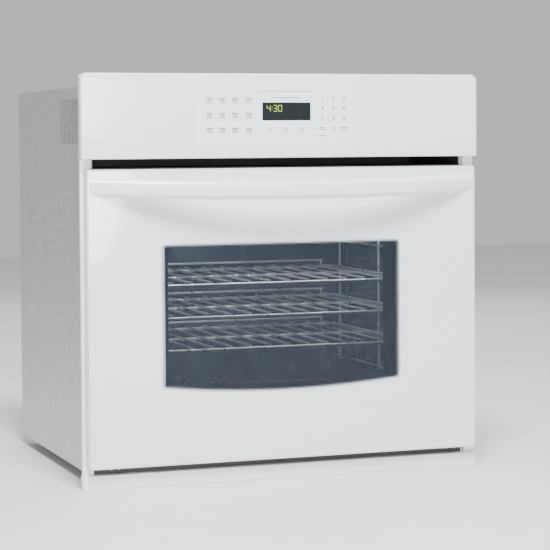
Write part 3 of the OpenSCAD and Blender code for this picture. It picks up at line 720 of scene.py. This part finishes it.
glassLow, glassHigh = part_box("door_outer_glass")
tunnelLow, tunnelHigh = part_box("window_tunnel")
glassShape = {"corner": 3.5 * mm, "edge": 0.8 * mm, "printTop": 2.5 * mm, "printBottom": 10 * mm}


def makeDoorGlass():
    s = glassShape
    glass = addBlock("doorGlass", glassLow, glassHigh)
    roundEdges(glass, s["corner"], 5, upright)
    frontY = glassLow.y + nearly
    roundEdges(glass, s["edge"], 3, lambda a, b: a.y < frontY and b.y < frontY)
    smoothByAngle(glass)
    middle = (glassLow.y + glassHigh.y) / 2
    material = doorGlassFinish(tunnelHigh.z - s["printTop"], tunnelLow.z + s["printBottom"], middle)
    placePiece(glass, "door", "door_glass", material, "door_outer_glass")


handleShape = {"height": 34 * mm, "thickness": 14 * mm, "out": 57 * mm, "tip": 7.5,
               "frontRound": 10.8 * mm, "backRound": 2.4 * mm, "endTrim": 4 * mm, "steps": 96,
               "overrun": 0.03, "slice": 1 * mm}


def makeHandle():
    s = handleShape
    low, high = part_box("door_handle")
    half, face = high.x, glassLow.y
    radius = (half * half + s["out"] ** 2) / (2 * s["out"])
    tip = math.radians(s["tip"])
    middle = high.z - s["height"] / 2 * math.cos(tip)
    handle = addBlock("doorHandle", (-s["slice"], -radius, -s["height"] / 2),
                      (0, s["thickness"] - radius, s["height"] / 2))
    pick(handle, "FACE", lambda face: abs(face.normal.x) < 0.5 or face.center.x < -s["slice"] / 2)
    bpy.ops.mesh.delete(type="FACE")
    endEdit()
    pick(handle, "VERT", lambda point: point.y < -radius + 100 * nearly)
    bpy.ops.mesh.bevel(offset=s["frontRound"], segments=10, affect="VERTICES")
    endEdit()
    pick(handle, "VERT", lambda point: point.y > s["thickness"] - radius - nearly)
    bpy.ops.mesh.bevel(offset=s["backRound"], segments=4, affect="VERTICES")
    endEdit()
    sweep = 2 * math.asin(half / radius) + s["overrun"]                # cut back at the ends below
    handle.rotation_euler.z = -sweep / 2
    settle(handle)
    pick(handle, "FACE", lambda face: True)
    bpy.ops.mesh.spin(steps=s["steps"], angle=-sweep, center=(0, 0, 0), axis=(0, 0, 1))
    endEdit()
    handle.location.y = radius - s["out"]
    settle(handle)
    handle.rotation_euler.x = tip
    handle.location = (0, face, middle)
    settle(handle)
    pick(handle, "FACE", lambda face: True)
    bpy.ops.mesh.bisect(plane_co=(0, face, 0), plane_no=(0, 1, 0), clear_outer=True, use_fill=True)
    for side in (-1, 1):
        bpy.ops.mesh.select_all(action="SELECT")
        bpy.ops.mesh.bisect(plane_co=(side * (half - s["endTrim"]), 0, 0), plane_no=(side, 0, 0),
                            clear_outer=True, use_fill=True)
    endEdit()
    tidyMesh(handle)
    smoothByAngle(handle, 40)
    placePiece(handle, "door", "handle_white", handleEnamel, "door_handle")


makeDoorGlass()
makeHandle()
print("door made")


floorZ = cadBounds[0].z


def makeStage():
    floorFinish = plainFinish("paleFloor", (0.74, 0.735, 0.72), 0.6, depth=0.02, change=0.03)
    clearSelection()
    bpy.ops.mesh.primitive_plane_add(size=14, location=(0, 0, floorZ))
    floor = bpy.context.object
    floor.name = "stageFloor"
    dress(floor, floorFinish)
    world = bpy.data.worlds.new("softRoom")
    world.use_nodes = True
    backdrop = world.node_tree.nodes["Background"]
    backdrop.inputs[0].default_value = (0.86, 0.89, 0.93, 1)
    backdrop.inputs[1].default_value = 0.7
    bpy.context.scene.world = world


lights = [                                                             # name, place, target, size, watts
    ("keyLight", (-0.5, -1.75, 3.3), (0, 0, 0.4), (1.0, 1.0), 330),
    ("fillLight", (-0.4, -3.6, 0.75), (0, 0.2, 0.3), (0.9, 0.9), 60),
    ("backLight", (1.2, 3.2, 2.2), (0, 0.5, 0.3), (2.5, 2.5), 40),
    ("cavityLight", (0, 0.055, 0.487), (0, 0.3, 0.2), (0.5, 0.03), 1.3),
]


def addLight(name, place, target, size, power):
    light = bpy.data.lights.new(name, "AREA")
    light.shape = "RECTANGLE"
    light.size, light.size_y = size
    light.energy = power
    lamp = bpy.data.objects.new(name, light)
    bpy.context.collection.objects.link(lamp)
    lamp.location = place
    lamp.rotation_euler = (Vector(target) - Vector(place)).to_track_quat("-Z", "Y").to_euler()


cameraSetup = {"place": (-1.228, -3.387, 0.598), "azimuth": 19.73, "pitch": -2.32, "roll": -0.375,
               "lens": 129.3, "shift": -0.1}


def makeCamera():
    c = cameraSetup
    camera = bpy.data.cameras.new("camera")
    camera.lens = c["lens"]
    camera.sensor_width = 36
    camera.shift_y = c["shift"]
    camera.clip_end = 50
    holder = bpy.data.objects.new("camera", camera)
    bpy.context.collection.objects.link(holder)
    holder.location = c["place"]
    holder.rotation_euler = (math.radians(90 + c["pitch"]), 0, -math.radians(c["azimuth"]))
    holder.rotation_euler.rotate_axis("Z", math.radians(c["roll"]))
    bpy.context.scene.camera = holder


makeStage()
for name, place, target, size, power in lights:
    addLight(name, place, target, size, power)
makeCamera()
print("stage made")
